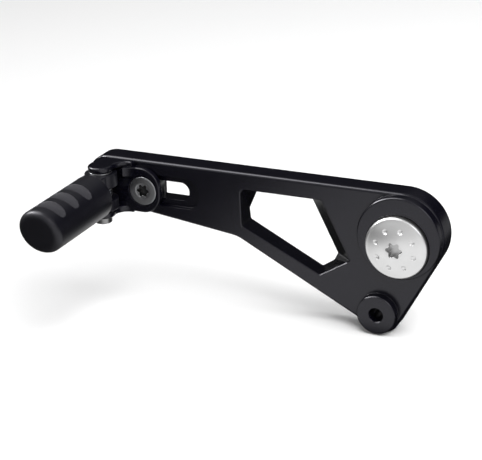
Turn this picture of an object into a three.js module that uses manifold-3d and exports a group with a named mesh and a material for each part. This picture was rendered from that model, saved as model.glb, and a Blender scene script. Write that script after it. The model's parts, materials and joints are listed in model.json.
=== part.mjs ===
// Folding gear shift lever for a motorcycle, as an assembly of separate pieces.
//
// Units are millimetres. The shapes are drawn around the pivot axis, from the middle of the arm's
// thickness. Each finished piece is then moved along that axis, so that the origin of the assembly
// is the flat end of the pivot bolt's thread, which is where the lever fastens to the motorcycle.
// The pivot axis is Y: -Y is the outer side that the rider sees and +Y is the motorcycle's side.
// The toe end lies towards -X and +Z is up.

import * as THREE from 'three';
import { mergeVertices } from 'three/addons/utils/BufferGeometryUtils.js';
import Module from 'manifold-3d';

const wasm = await Module();
wasm.setup();

// ---------------------------------------------------------------- driving dimensions

const FINE = 44; // facets around the large turned pieces
const SMALL = 30; // facets around pins, bushes and screws
const WIDE = 72; // facets around the wide cutters of the peg's grips

// The arm is a flat plate. Its outline is the band pulled tight around these round ends.
const ARM = { front: -5, back: 5, edge: 1.2 };
const BOSS_FACE = -8.5; // outer face of both round bosses
const PIVOT_END = { x: 0.1, z: 3, radius: 16.9 };
const LINKAGE_END = { x: -7, z: -31.9, radius: 6.2 };
const TOE_END = { x: -123.8, z: 10.05, radius: 9.85 };
const UNDERSIDE_BEND = { x: -71.6, z: -18.65, radius: 12, hollow: true };
const PIVOT_BOSS_RADIUS = 16.4;
const LINKAGE = { x: -8.6, z: -29.6, bossRadius: 7.9, holeRadius: 2.8 };

// The weight-saving window, counter-clockwise. Its upper left corner, right side and lower corner
// slope inwards towards the back, so each corner is given on the outer face and on the inner face.
const WINDOW = [
  { outer: [-65.6, -2.2], inner: [-66.0, -2.6] },
  { outer: [-32.8, -17.9], inner: [-35.4, -18.3] },
  { outer: [-21.6, -11.0], inner: [-30.6, -15.0] },
  { outer: [-20.3, -9.8], inner: [-29.1, -12.0] },
  { outer: [-31.6, 13.0], inner: [-41.4, 13.0] },
  { outer: [-64.8, 13.0], inner: [-61.4, 13.0] },
  { outer: [-65.8, 11.8], inner: [-66.4, 1.9] },
];

// The slot that the toe holder is clamped in, with a shallow channel around it on each side.
const SLOT = { left: -120, right: -92.6, z: 8, radius: 3.75 };
const OUTER_CHANNEL = { left: -120, right: -90, radius: 6.4, depth: 2 };
const INNER_CHANNEL = { left: -120, right: -91, radius: 7, depth: 2 };

// The pivot: a shoulder bolt in a sleeve, and the arm turns on the sleeve in two flanged bushes.
const BOLT = {
  headRadius: 12.3, capRadius: 11.1, capHeight: 2.1, rounding: 1.2,
  rim: -9.6, seat: -7, shoulder: 5, thread: 4, end: 25, socket: 3.3, socketDepth: 2.6,
};
const DIMPLES = { count: 8, circle: 8, radius: 1.35, firstAngle: 28.6 };
const SLEEVE = { inner: 5.1, outer: 6.9, flange: 11.6, flangeY: 4.6, hub: 9, hubY: 5.4, end: 7 };
const ARM_BORE = 8.5;
const OUTER_SINK = { radius: 12.6, floor: -5.4 };
const INNER_SINK = { radius: 12, floor: 3 };
const BUSH = { inner: 7, outer: 8.45, flange: 10, flangeThickness: 0.8, length: 4 };
const THRUST_WASHER = { inner: 7.1, outer: 10.3, thickness: 0.7, gap: 0.05 };
const SEAL = { ring: 0.7, outerRadius: 11.6, innerRadius: 11 };

// The toe holder and what clamps it to the arm.
const SCREW = {
  x: -107.4, z: 7.9, head: 5.9, rim: 0.4, cone: 3, shank: 3, end: 5.6, socket: 2.8, socketDepth: 2,
};
const HOLDER = {
  front: -7.75, back: -5.05, left: -127, right: -99.8, top: 17.4, bottom: -1.3,
  pilotRadius: 6.1, pilotEnd: -3.95, screwHole: 3.3,
};
const GRIP_WASHER = { inner: 3.4, outer: 6.1, front: -3.85, back: -3.1, teeth: 20, toothDepth: 0.5 };
const SLOT_NUT = { straight: 0.75, radius: 3.65, front: -2.9, flangeHalfHeight: 6.6, flangeFront: 3.05 };

// The fold hinge of the toe peg. Its pin stands upright, and the peg points outwards.
const HINGE = { x: -122, y: -14.5 };
const EAR = { radius: 5, top: 19.6, bottom: -2, upperUnderside: 17.1, lowerTopside: 0.9, fillet: 4.5 };
const GUSSET = { reach: -10, left: -114.8, right: -110.3, top: 17.5, bottom: 13.9 };
const PIN = {
  shoulder: 2.5, hole: 2.6, head: 3.5, headEnd: -4.5, thread: 2, end: 18.9, socket: 1.75, socketDepth: 1.6,
};
const HINGE_WASHER = { inner: 2.7, outer: 4.7, thickness: 0.5, gap: 0.05 };
const TONGUE = {
  radius: 6.5, neck: 4.6, fillet: 2, bottom: 1.5, top: 16.5, lowerKnuckleTop: 5.8, upperKnuckleBottom: 11.3,
};
const HINGE_BUSH = { inner: 2.62, outer: 3.4 };
const SPRING = { radius: 3.7, wire: 0.5, bottom: 6.5, top: 10.5, turns: 3.25, springRoom: 6.6, legRoom: 8 };

const PEG = {
  radius: 9.15, z: 8.55, root: -20.4, rootChamfer: 2.2, end: -62.8, endRounding: 3, slant: 0.2,
};
const GRIPS = { centres: [-35.9, -45.6, -55.3], halfWidth: 3.1, depth: 1.2, floorRadius: 13.5, lean: 9 };

// ---------------------------------------------------------------- materials

const finish = (color, roughness, metalness) => () =>
  new THREE.MeshStandardMaterial({ color, roughness, metalness });
const blackAnodised = finish(0x2b2b2e, 0.45, 0.6);
const satinSilver = finish(0xd2d3d4, 0.35, 0.9);
const darkSteel = finish(0x808388, 0.35, 0.95);
const zincSteel = finish(0xb9bcc0, 0.3, 0.95);
const bronze = finish(0xa9793f, 0.4, 0.9);
const springSteel = finish(0x6f7277, 0.3, 0.95);
const sealRubber = finish(0x141414, 0.8, 0);

// ---------------------------------------------------------------- geometry helpers

const radians = THREE.MathUtils.degToRad;

/** A geometry's merged vertices and triangles, with the triangles' winding facing outwards. */
function closedMesh(geometry) {
  const bare = geometry.clone();
  bare.deleteAttribute('normal');
  bare.deleteAttribute('uv');
  const merged = mergeVertices(bare, 1e-4);
  const points = merged.attributes.position.array;
  const corner = (i) => new THREE.Vector3().fromArray(points, 3 * i);
  const triangles = [];
  let volume = 0;
  for (let i = 0; i < merged.index.count; i += 3) {
    const [a, b, c] = [0, 1, 2].map((k) => merged.index.getX(i + k));
    if (a === b || b === c || c === a) continue;
    triangles.push([a, b, c]);
    volume += corner(a).dot(corner(b).cross(corner(c)));
  }
  const facing = volume < 0 ? triangles.map(([a, b, c]) => [a, c, b]) : triangles;
  return { points, triangles: facing };
}

/** The solid inside a closed geometry. */
function solid(geometry) {
  const { points, triangles } = closedMesh(geometry);
  const mesh = new wasm.Mesh({
    numProp: 3,
    vertProperties: new Float32Array(points),
    triVerts: new Uint32Array(triangles.flat()),
  });
  mesh.merge();
  return new wasm.Manifold(mesh);
}

const join = (first, ...others) => others.reduce((whole, other) => whole.add(other), first);
const cut = (first, ...others) => others.reduce((whole, other) => whole.subtract(other), first);

/** A named mesh of a solid. */
function piece(name, body, material) {
  const { vertProperties, triVerts } = body.getMesh();
  const geometry = new THREE.BufferGeometry();
  geometry.setAttribute('position', new THREE.BufferAttribute(new Float32Array(vertProperties), 3));
  geometry.setIndex(new THREE.BufferAttribute(new Uint32Array(triVerts), 1));
  geometry.translate(0, -BOLT.end, 0);
  geometry.computeVertexNormals();
  const mesh = new THREE.Mesh(geometry, material());
  mesh.name = name;
  return mesh;
}

/** A turned solid around the Y axis. The profile is a list of [radius, y]. */
function turned(profile, facets = SMALL) {
  const points = profile.map(([radius, y]) => new THREE.Vector2(radius, y));
  return solid(new THREE.LatheGeometry(points, facets));
}

/** A round bar along Y with chamfered edges. */
function bar(radius, from, to, chamfer = 0, facets = SMALL) {
  const profile = [
    [0, from],
    [radius - chamfer, from],
    [radius, from + chamfer],
    [radius, to - chamfer],
    [radius - chamfer, to],
    [0, to],
  ];
  return turned(chamfer > 0 ? profile : [profile[0], [radius, from], [radius, to], profile[5]], facets);
}

/** A plain ring around Y with chamfered outer edges. */
function ring(inner, outer, from, to, chamfer = 0.15, facets = SMALL) {
  return turned([
    [inner, from],
    [outer - chamfer, from],
    [outer, from + chamfer],
    [outer, to - chamfer],
    [outer - chamfer, to],
    [inner, to],
    [inner, from],
  ], facets);
}

/** Turns a solid made around Y so that it stands along Z at the hinge, its y becoming its z. */
const onHinge = (body) => body.rotate([90, 0, 0]).translate([HINGE.x, HINGE.y, 0]);

/**
 * The outline of a band pulled tight around round ends, given counter-clockwise.
 * An end with no radius is a corner, and a hollow end bends the band the other way.
 */
function bandAround(ends, step = 6) {
  const signed = (end) => (end.hollow ? -1 : 1) * (end.radius ?? 0);
  const leaving = ends.map((end, i) => {
    const next = ends[(i + 1) % ends.length];
    const [dx, dz] = [next.x - end.x, next.z - end.z];
    const share = (signed(end) - signed(next)) / Math.hypot(dx, dz);
    return Math.atan2(dz, dx) - Math.acos(THREE.MathUtils.clamp(share, -1, 1));
  });
  const outline = [];
  ends.forEach((end, i) => {
    const from = leaving[(i + ends.length - 1) % ends.length];
    const full = 2 * Math.PI;
    let turn = (((leaving[i] - from + Math.PI) % full) + full) % full - Math.PI;
    if (!end.hollow && turn < 0) turn += full;
    const steps = end.radius ? Math.max(1, Math.ceil(Math.abs(turn) / radians(step))) : 0;
    for (let k = 0; k <= steps; k += 1) {
      const angle = from + (steps ? (turn * k) / steps : 0);
      const radius = signed(end);
      outline.push(new THREE.Vector2(end.x + radius * Math.cos(angle), end.z + radius * Math.sin(angle)));
    }
  });
  return new THREE.Shape(outline);
}

/** A slot-shaped outline between two round ends on one level. */
const stadium = (left, right, z, radius) =>
  bandAround([{ x: right, z, radius }, { x: left, z, radius }], 7.5);

/** A flat plate whose outline lies in XZ, from y = from to y = to, with rounded or plain edges. */
function plate(outline, from, to, edge = 0) {
  const geometry = new THREE.ExtrudeGeometry(outline, {
    depth: to - from - 2 * edge,
    bevelEnabled: edge > 0,
    bevelThickness: edge,
    bevelSize: edge,
    bevelOffset: -edge,
    bevelSegments: 3,
    steps: 1,
  });
  return solid(geometry.rotateX(Math.PI / 2).translate(0, to - edge, 0));
}

/** A flat plate whose outline lies in XY, from z = from to z = to. */
function level(outline, from, to, edge = 0) {
  const geometry = new THREE.ExtrudeGeometry(outline, {
    depth: to - from - 2 * edge,
    bevelEnabled: edge > 0,
    bevelThickness: edge,
    bevelSize: edge,
    bevelOffset: -edge,
    bevelSegments: 2,
    steps: 1,
  });
  return solid(geometry.translate(0, 0, from + edge));
}

/** A tapering prism between two counter-clockwise outlines, one at y = from and one at y = to. */
function tapered(outerPoints, innerPoints, from, to) {
  const count = outerPoints.length;
  const positions = [];
  outerPoints.forEach(([x, z]) => positions.push(x, from, z));
  innerPoints.forEach(([x, z]) => positions.push(x, to, z));
  const index = [];
  for (let i = 0; i < count; i += 1) {
    const next = (i + 1) % count;
    index.push(i, next, count + i, next, count + next, count + i);
  }
  const flat = (points) => points.map(([x, z]) => new THREE.Vector2(x, z));
  THREE.ShapeUtils.triangulateShape(flat(outerPoints), [])
    .forEach(([a, b, c]) => index.push(a, c, b));
  THREE.ShapeUtils.triangulateShape(flat(innerPoints), [])
    .forEach(([a, b, c]) => index.push(count + a, count + b, count + c));
  const geometry = new THREE.BufferGeometry();
  geometry.setAttribute('position', new THREE.Float32BufferAttribute(positions, 3));
  geometry.setIndex(index);
  return solid(geometry);
}

/** The cutter of a six-lobed driver socket, from y = from inwards to y = to. */
function lobedSocket(radius, from, to) {
  const points = [];
  const lobes = 6;
  const count = 8 * lobes;
  const lobeHeight = 0.14; // as a share of the socket's radius
  for (let i = 0; i < count; i += 1) {
    const angle = (2 * Math.PI * i) / count;
    const reach = radius * (1 - lobeHeight * (1 - Math.cos(lobes * angle)));
    points.push(new THREE.Vector2(reach * Math.cos(angle), reach * Math.sin(angle)));
  }
  return plate(new THREE.Shape(points), from, to);
}

// ---------------------------------------------------------------- the pivot

/** The domed shoulder bolt, with a six-lobed socket and a circle of drilled dimples. */
function pivotBolt() {
  const capTop = BOLT.rim - BOLT.rounding - BOLT.capHeight;
  const capHeightAt = (radius) => capTop + BOLT.capHeight * (radius / BOLT.capRadius) ** 2;
  const cap = [];
  for (let share = 0; share < 1; share += 0.2) {
    const radius = share * BOLT.capRadius;
    cap.push([radius, capHeightAt(radius)]);
  }
  const corner = [];
  for (let angle = 90; angle >= 0; angle -= 22.5) {
    corner.push([
      BOLT.capRadius + BOLT.rounding * Math.cos(radians(angle)),
      BOLT.rim - BOLT.rounding * Math.sin(radians(angle)),
    ]);
  }
  const blank = turned([
    ...cap,
    ...corner,
    [BOLT.headRadius, BOLT.seat - 0.4],
    [BOLT.headRadius - 0.4, BOLT.seat],
    [BOLT.shoulder, BOLT.seat],
    [BOLT.shoulder, SLEEVE.end - 0.5],
    [BOLT.thread, SLEEVE.end + 0.5],
    [BOLT.thread, BOLT.end - 1],
    [BOLT.thread - 1, BOLT.end],
    [0, BOLT.end],
  ], FINE);
  const dimples = [];
  for (let i = 0; i < DIMPLES.count; i += 1) {
    const angle = radians(DIMPLES.firstAngle + (360 * i) / DIMPLES.count);
    const drill = new THREE.SphereGeometry(DIMPLES.radius, 10, 6);
    drill.translate(
      DIMPLES.circle * Math.cos(angle),
      capHeightAt(DIMPLES.circle) - 0.35 * DIMPLES.radius,
      DIMPLES.circle * Math.sin(angle),
    );
    dimples.push(solid(drill));
  }
  const socket = lobedSocket(BOLT.socket, capTop - 1, capTop + BOLT.socketDepth);
  return cut(blank, socket, ...dimples);
}

function pivotSleeve() {
  return turned([
    [SLEEVE.inner, BOLT.seat],
    [SLEEVE.outer, BOLT.seat],
    [SLEEVE.outer, SLEEVE.flangeY],
    [SLEEVE.flange, SLEEVE.flangeY],
    [SLEEVE.flange, SLEEVE.hubY],
    [SLEEVE.hub, SLEEVE.hubY],
    [SLEEVE.hub, SLEEVE.end - 0.3],
    [SLEEVE.hub - 0.3, SLEEVE.end],
    [SLEEVE.inner, SLEEVE.end],
    [SLEEVE.inner, BOLT.seat],
  ], FINE);
}

/** A flanged bush whose flange lies on the given floor; outwards is -1 or 1 along Y. */
function flangedBush(floor, outwards) {
  const flangeEnd = floor + outwards * BUSH.flangeThickness;
  const barrelEnd = floor - outwards * BUSH.length;
  return turned([
    [BUSH.inner, flangeEnd],
    [BUSH.flange, flangeEnd],
    [BUSH.flange, floor],
    [BUSH.outer, floor],
    [BUSH.outer, barrelEnd],
    [BUSH.inner, barrelEnd],
    [BUSH.inner, flangeEnd],
  ], FINE);
}

/** A thrust washer lying against a bush flange; outwards is -1 or 1 along Y. */
function thrustWasher(floor, outwards) {
  const near = floor + outwards * (BUSH.flangeThickness + THRUST_WASHER.gap);
  const far = near + outwards * THRUST_WASHER.thickness;
  const [from, to] = [Math.min(near, far), Math.max(near, far)];
  return ring(THRUST_WASHER.inner, THRUST_WASHER.outer, from, to, 0.1, FINE);
}

/** A round seal ring lying on the given floor; outwards is -1 or 1 along Y. */
function sealRing(floor, outwards, radius) {
  const centre = floor + outwards * (SEAL.ring + 0.08);
  const profile = [];
  for (let angle = 0; angle < 360; angle += 45) {
    profile.push([
      radius + SEAL.ring * Math.cos(radians(angle)),
      centre + SEAL.ring * Math.sin(radians(angle)),
    ]);
  }
  return turned([...profile, profile[0]], FINE);
}

// ---------------------------------------------------------------- the arm

function leverArm() {
  const outline = bandAround([LINKAGE_END, PIVOT_END, TOE_END, UNDERSIDE_BEND]);
  const blank = plate(outline, ARM.front, ARM.back, ARM.edge);
  const pivotBoss = bar(PIVOT_BOSS_RADIUS, BOSS_FACE, ARM.front + 2, 0.6, FINE)
    .translate([PIVOT_END.x, 0, PIVOT_END.z]);
  const linkageBoss = bar(LINKAGE.bossRadius, BOSS_FACE, ARM.front + 2, 0.6, SMALL)
    .translate([LINKAGE.x, 0, LINKAGE.z]);

  const overrun = 0.02; // how far, as a share of the thickness, the window cutter runs past each face
  const beyond = (near, far) => near.map((value, i) => value + overrun * (value - far[i]));
  const margin = overrun * (ARM.back - ARM.front);
  const windowCut = tapered(
    WINDOW.map(({ outer, inner }) => beyond(outer, inner)),
    WINDOW.map(({ outer, inner }) => beyond(inner, outer)),
    ARM.front - margin,
    ARM.back + margin,
  );
  const slot = plate(stadium(SLOT.left, SLOT.right, SLOT.z, SLOT.radius), -10, 10);
  const outerChannel = plate(
    stadium(OUTER_CHANNEL.left, OUTER_CHANNEL.right, SLOT.z, OUTER_CHANNEL.radius),
    -10,
    ARM.front + OUTER_CHANNEL.depth,
  );
  const innerChannel = plate(
    stadium(INNER_CHANNEL.left, INNER_CHANNEL.right, SLOT.z, INNER_CHANNEL.radius),
    ARM.back - INNER_CHANNEL.depth,
    10,
  );
  return cut(
    join(blank, pivotBoss, linkageBoss),
    windowCut,
    slot,
    outerChannel,
    innerChannel,
    bar(ARM_BORE, -10, 10, 0, FINE),
    bar(OUTER_SINK.radius, -10, OUTER_SINK.floor, 0, FINE),
    bar(INNER_SINK.radius, INNER_SINK.floor, 10, 0, FINE),
    bar(LINKAGE.holeRadius, -10, 10).translate([LINKAGE.x, 0, LINKAGE.z]),
  );
}

// ---------------------------------------------------------------- the toe holder and its clamp

const atScrew = (body) => body.translate([SCREW.x, 0, SCREW.z]);

/** The countersunk head's profile, grown by a clearance, down to the shank's radius. */
function headProfile(clearance, shank) {
  const front = HOLDER.front;
  return [
    [0, front],
    [SCREW.head + clearance, front],
    [SCREW.head + clearance, front + SCREW.rim + clearance],
    [shank, front + SCREW.rim + SCREW.cone + clearance],
  ];
}

/** The screw that clamps the holder to the nut behind the arm. */
function clampScrew() {
  const blank = turned([
    ...headProfile(0, SCREW.shank),
    [SCREW.shank, SCREW.end - 0.6],
    [SCREW.shank - 0.6, SCREW.end],
    [0, SCREW.end],
  ]);
  const socket = lobedSocket(SCREW.socket, HOLDER.front - 1, HOLDER.front + SCREW.socketDepth);
  return atScrew(cut(blank, socket));
}

/** The outline of an ear in XY: round about the hinge, with a hollow fillet on its right side. */
function earOutline() {
  const filletY = HOLDER.front - EAR.fillet;
  const filletX = HINGE.x + Math.sqrt((EAR.radius + EAR.fillet) ** 2 - (filletY - HINGE.y) ** 2);
  return bandAround([
    { x: HINGE.x, z: HINGE.y, radius: EAR.radius },
    { x: filletX, z: filletY, radius: EAR.fillet, hollow: true },
    { x: filletX + 0.5, z: HOLDER.front },
    { x: filletX + 0.5, z: HOLDER.back },
    { x: HOLDER.left, z: HOLDER.back },
  ], 9);
}

/** The holder: a plate with a round pilot in the arm's channel, and two ears for the hinge pin. */
function toeHolder() {
  const corner = (x, z, radius) => ({
    x: x + (x > SCREW.x ? -radius : radius),
    z: z + (z > SCREW.z ? -radius : radius),
    radius,
  });
  const back = bandAround([
    corner(HOLDER.right, HOLDER.bottom, 8),
    corner(HOLDER.right, HOLDER.top, 8.5),
    corner(HOLDER.left, HOLDER.top, 2),
    corner(HOLDER.left, HOLDER.bottom, 2),
  ], 10);
  const gussetOutline = bandAround([
    { x: GUSSET.left, z: GUSSET.reach },
    { x: GUSSET.right, z: HOLDER.front },
    { x: GUSSET.right, z: HOLDER.front + 1 },
    { x: GUSSET.left, z: HOLDER.front + 1 },
  ]);
  const blank = join(
    plate(back, HOLDER.front, HOLDER.back, 0.5),
    atScrew(bar(HOLDER.pilotRadius, HOLDER.back - 1, HOLDER.pilotEnd, 0.2)),
    level(earOutline(), EAR.upperUnderside, EAR.top, 0.5),
    level(earOutline(), EAR.bottom, EAR.lowerTopside, 0.5),
    level(gussetOutline, GUSSET.bottom, GUSSET.top),
  );
  const countersink = headProfile(0.1, HOLDER.screwHole);
  const screwHole = turned([
    [0, HOLDER.front - 5],
    [SCREW.head + 0.1, HOLDER.front - 5],
    ...countersink.slice(1),
    [HOLDER.screwHole, 0],
    [0, 0],
  ]);
  return cut(
    blank,
    atScrew(screwHole),
    onHinge(bar(PIN.hole, EAR.bottom - 2, EAR.lowerTopside + 1)),
    onHinge(bar(PIN.thread + 0.1, EAR.upperUnderside - 1, PIN.end + 0.1)),
  );
}

/** The toothed washer that keeps the holder from turning once it is clamped. */
function gripWasher() {
  const teeth = [];
  for (let i = 0; i < 2 * GRIP_WASHER.teeth; i += 1) {
    const angle = (Math.PI * i) / GRIP_WASHER.teeth;
    const radius = GRIP_WASHER.outer - (i % 2) * GRIP_WASHER.toothDepth;
    teeth.push(new THREE.Vector2(radius * Math.cos(angle), radius * Math.sin(angle)));
  }
  const disc = plate(new THREE.Shape(teeth), GRIP_WASHER.front, GRIP_WASHER.back);
  return atScrew(cut(disc, bar(GRIP_WASHER.inner, -6, 0)));
}

/** The nut behind the arm: its neck fills the slot and its flange pulls on the inner channel. */
function slotNut() {
  const neck = stadium(-SLOT_NUT.straight, SLOT_NUT.straight, 0, SLOT_NUT.radius);
  const halfLength = SLOT_NUT.straight + SLOT_NUT.radius;
  const flange = new THREE.Shape([
    new THREE.Vector2(-halfLength, -SLOT_NUT.flangeHalfHeight),
    new THREE.Vector2(halfLength, -SLOT_NUT.flangeHalfHeight),
    new THREE.Vector2(halfLength, SLOT_NUT.flangeHalfHeight),
    new THREE.Vector2(-halfLength, SLOT_NUT.flangeHalfHeight),
  ]);
  const blank = join(
    plate(neck, SLOT_NUT.front, SLOT_NUT.flangeFront + 1),
    plate(flange, SLOT_NUT.flangeFront, ARM.back, 0.3),
  );
  return atScrew(cut(blank, bar(SCREW.shank + 0.05, -6, 8)));
}

// ---------------------------------------------------------------- the folding toe peg

/** The shoulder screw that is the hinge pin, put in from below and threaded into the upper ear. */
function hingePin() {
  const blank = turned([
    [0, PIN.headEnd],
    [PIN.head - 0.5, PIN.headEnd],
    [PIN.head, PIN.headEnd + 0.5],
    [PIN.head, EAR.bottom - 0.05],
    [PIN.shoulder, EAR.bottom - 0.05],
    [PIN.shoulder, EAR.upperUnderside - 0.05],
    [PIN.thread, EAR.upperUnderside - 0.05],
    [PIN.thread, PIN.end],
    [0, PIN.end],
  ]);
  const hexagon = [];
  for (let i = 0; i < 6; i += 1) {
    const angle = radians(60 * i);
    hexagon.push(new THREE.Vector2(PIN.socket * Math.cos(angle), PIN.socket * Math.sin(angle)));
  }
  const socket = plate(new THREE.Shape(hexagon), PIN.headEnd - 1, PIN.headEnd + PIN.socketDepth);
  return onHinge(cut(blank, socket));
}

const hingeWasher = (from) =>
  onHinge(ring(HINGE_WASHER.inner, HINGE_WASHER.outer, from, from + HINGE_WASHER.thickness, 0.1));

const hingeBush = (from, to) => onHinge(ring(HINGE_BUSH.inner, HINGE_BUSH.outer, from, to, 0.1));

/** The torsion spring around the pin: one leg lies against the holder, the other reaches the peg. */
function returnSpring() {
  const path = [];
  const stepsPerTurn = 14;
  const steps = Math.round(SPRING.turns * stepsPerTurn);
  const onCoil = (angle, z) => new THREE.Vector3(
    HINGE.x + SPRING.radius * Math.cos(angle),
    HINGE.y + SPRING.radius * Math.sin(angle),
    z,
  );
  path.push(new THREE.Vector3(HINGE.x - SPRING.radius, HOLDER.front - SPRING.wire - 0.3, SPRING.bottom));
  path.push(new THREE.Vector3(HINGE.x - SPRING.radius, HINGE.y + 2.5, SPRING.bottom));
  for (let i = 0; i <= steps; i += 1) {
    const angle = Math.PI + (2 * Math.PI * SPRING.turns * i) / steps;
    path.push(onCoil(angle, SPRING.bottom + ((SPRING.top - SPRING.bottom) * i) / steps));
  }
  path.push(new THREE.Vector3(HINGE.x + 2.2, HINGE.y - SPRING.radius, SPRING.top));
  path.push(new THREE.Vector3(HINGE.x + 5.2, HINGE.y - SPRING.radius - 0.2, SPRING.top));
  const wire = new THREE.Shape();
  wire.absarc(0, 0, SPRING.wire, 0, 2 * Math.PI);
  return solid(new THREE.ExtrudeGeometry(wire, {
    steps: 2 * path.length,
    curveSegments: 4,
    bevelEnabled: false,
    extrudePath: new THREE.CatmullRomCurve3(path, false, 'catmullrom', 0.5),
  }));
}

/** The peg: a round bar with a rounded end, scalloped grips on top and a forked tongue. */
function toePeg() {
  const rounding = [];
  for (let angle = 0; angle <= 90; angle += 15) {
    rounding.push([
      PEG.radius - PEG.endRounding * (1 - Math.sin(radians(angle))),
      PEG.end + PEG.endRounding * (1 - Math.cos(radians(angle))),
    ]);
  }
  const rod = new THREE.LatheGeometry([
    [0, PEG.end],
    ...rounding,
    [PEG.radius, PEG.root - PEG.rootChamfer],
    [PEG.radius - PEG.rootChamfer, PEG.root],
    [0, PEG.root],
  ].map(([radius, y]) => new THREE.Vector2(radius, y)), FINE);
  // The end face leans back towards its lower side.
  const place = rod.attributes.position;
  for (let i = 0; i < place.count; i += 1) {
    if (place.getY(i) < PEG.end + 1.5 * PEG.endRounding) {
      place.setY(i, place.getY(i) - PEG.slant * place.getZ(i));
    }
  }
  rod.translate(HINGE.x, 0, PEG.z);

  // The tongue is round about the hinge and has a narrower neck towards the bar.
  const filletX = TONGUE.neck + TONGUE.fillet;
  const filletY = HINGE.y - Math.sqrt((TONGUE.radius + TONGUE.fillet) ** 2 - filletX ** 2);
  const tongueOutline = bandAround([
    { x: HINGE.x, z: HINGE.y, radius: TONGUE.radius },
    { x: HINGE.x - filletX, z: filletY, radius: TONGUE.fillet, hollow: true },
    { x: HINGE.x - TONGUE.neck, z: PEG.root - 2 },
    { x: HINGE.x + TONGUE.neck, z: PEG.root - 2 },
    { x: HINGE.x + filletX, z: filletY, radius: TONGUE.fillet, hollow: true },
  ], 9);
  const tongue = level(tongueOutline, TONGUE.bottom, TONGUE.top, 0.4);

  const springRoom = onHinge(bar(SPRING.springRoom, TONGUE.lowerKnuckleTop, TONGUE.upperKnuckleBottom));
  const legRoom = onHinge(bar(SPRING.legRoom, SPRING.top - 0.75, TONGUE.upperKnuckleBottom));
  const bore = onHinge(bar(HINGE_BUSH.outer + 0.03, 0, 20));

  // Each grip is a shallow trough around the top of the peg, cut about a parallel axis that lies
  // below the peg's own axis, so that the trough runs out on both flanks.
  const axisDrop = GRIPS.floorRadius - (PEG.radius - GRIPS.depth);
  const trough = [];
  for (let i = -4; i <= 4; i += 1) {
    const across = (GRIPS.halfWidth * i) / 4;
    const rise = GRIPS.depth * Math.abs(across / GRIPS.halfWidth) ** 3;
    trough.push([GRIPS.floorRadius + rise, across]);
  }
  const outside = GRIPS.floorRadius + 4;
  const cutter = turned([
    ...trough,
    [outside, GRIPS.halfWidth],
    [outside, -GRIPS.halfWidth],
    trough[0],
  ], WIDE);
  const lean = radians(GRIPS.lean);
  const grips = GRIPS.centres.map((y) => cutter.translate([
    HINGE.x - axisDrop * Math.sin(lean),
    y,
    PEG.z - axisDrop * Math.cos(lean),
  ]));
  return cut(join(solid(rod), tongue), springRoom, legRoom, bore, ...grips);
}

// ---------------------------------------------------------------- the assembly

const shiftLever = new THREE.Group();

const pivot = new THREE.Group();
pivot.add(
  piece('pivot_bolt', pivotBolt(), satinSilver),
  piece('pivot_sleeve', pivotSleeve(), zincSteel),
  piece('outer_thrust_washer', thrustWasher(OUTER_SINK.floor, -1), zincSteel),
  piece('inner_thrust_washer', thrustWasher(INNER_SINK.floor, 1), zincSteel),
);

const lever = new THREE.Group();
lever.add(
  piece('lever_arm', leverArm(), blackAnodised),
  piece('outer_pivot_bush', flangedBush(OUTER_SINK.floor, -1), bronze),
  piece('inner_pivot_bush', flangedBush(INNER_SINK.floor, 1), bronze),
  piece('outer_seal', sealRing(OUTER_SINK.floor, -1, SEAL.outerRadius), sealRubber),
  piece('inner_seal', sealRing(INNER_SINK.floor, 1, SEAL.innerRadius), sealRubber),
);

const clamp = new THREE.Group();
clamp.add(
  piece('slot_nut', slotNut(), zincSteel),
  piece('clamp_screw', clampScrew(), darkSteel),
  piece('grip_washer', gripWasher(), zincSteel),
);

const holder = new THREE.Group();
holder.add(
  piece('toe_holder', toeHolder(), blackAnodised),
  piece('hinge_pin', hingePin(), satinSilver),
  piece('return_spring', returnSpring(), springSteel),
);

const peg = new THREE.Group();
peg.add(
  piece('toe_peg', toePeg(), blackAnodised),
  piece('lower_hinge_bush', hingeBush(TONGUE.bottom, TONGUE.lowerKnuckleTop), bronze),
  piece('upper_hinge_bush', hingeBush(TONGUE.upperKnuckleBottom, TONGUE.top), bronze),
  piece('lower_hinge_washer', hingeWasher(EAR.lowerTopside + HINGE_WASHER.gap), zincSteel),
  piece('upper_hinge_washer', hingeWasher(TONGUE.top + HINGE_WASHER.gap), zincSteel),
);

shiftLever.add(pivot, lever, clamp, holder, peg);

export default shiftLever;
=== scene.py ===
"""Folding gear shift lever: the looks of every visible piece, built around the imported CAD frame.

Shapes are modelled in millimetres from the point where the pivot axis crosses the middle of the arm
plate. When a piece is finished it is turned into metres and moved to its place in the CAD frame.
-Y is the outer side, -X the toe end and +Z is up.
"""
import json
import math

import bmesh
import bpy
from mathutils import Matrix, Vector

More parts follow.
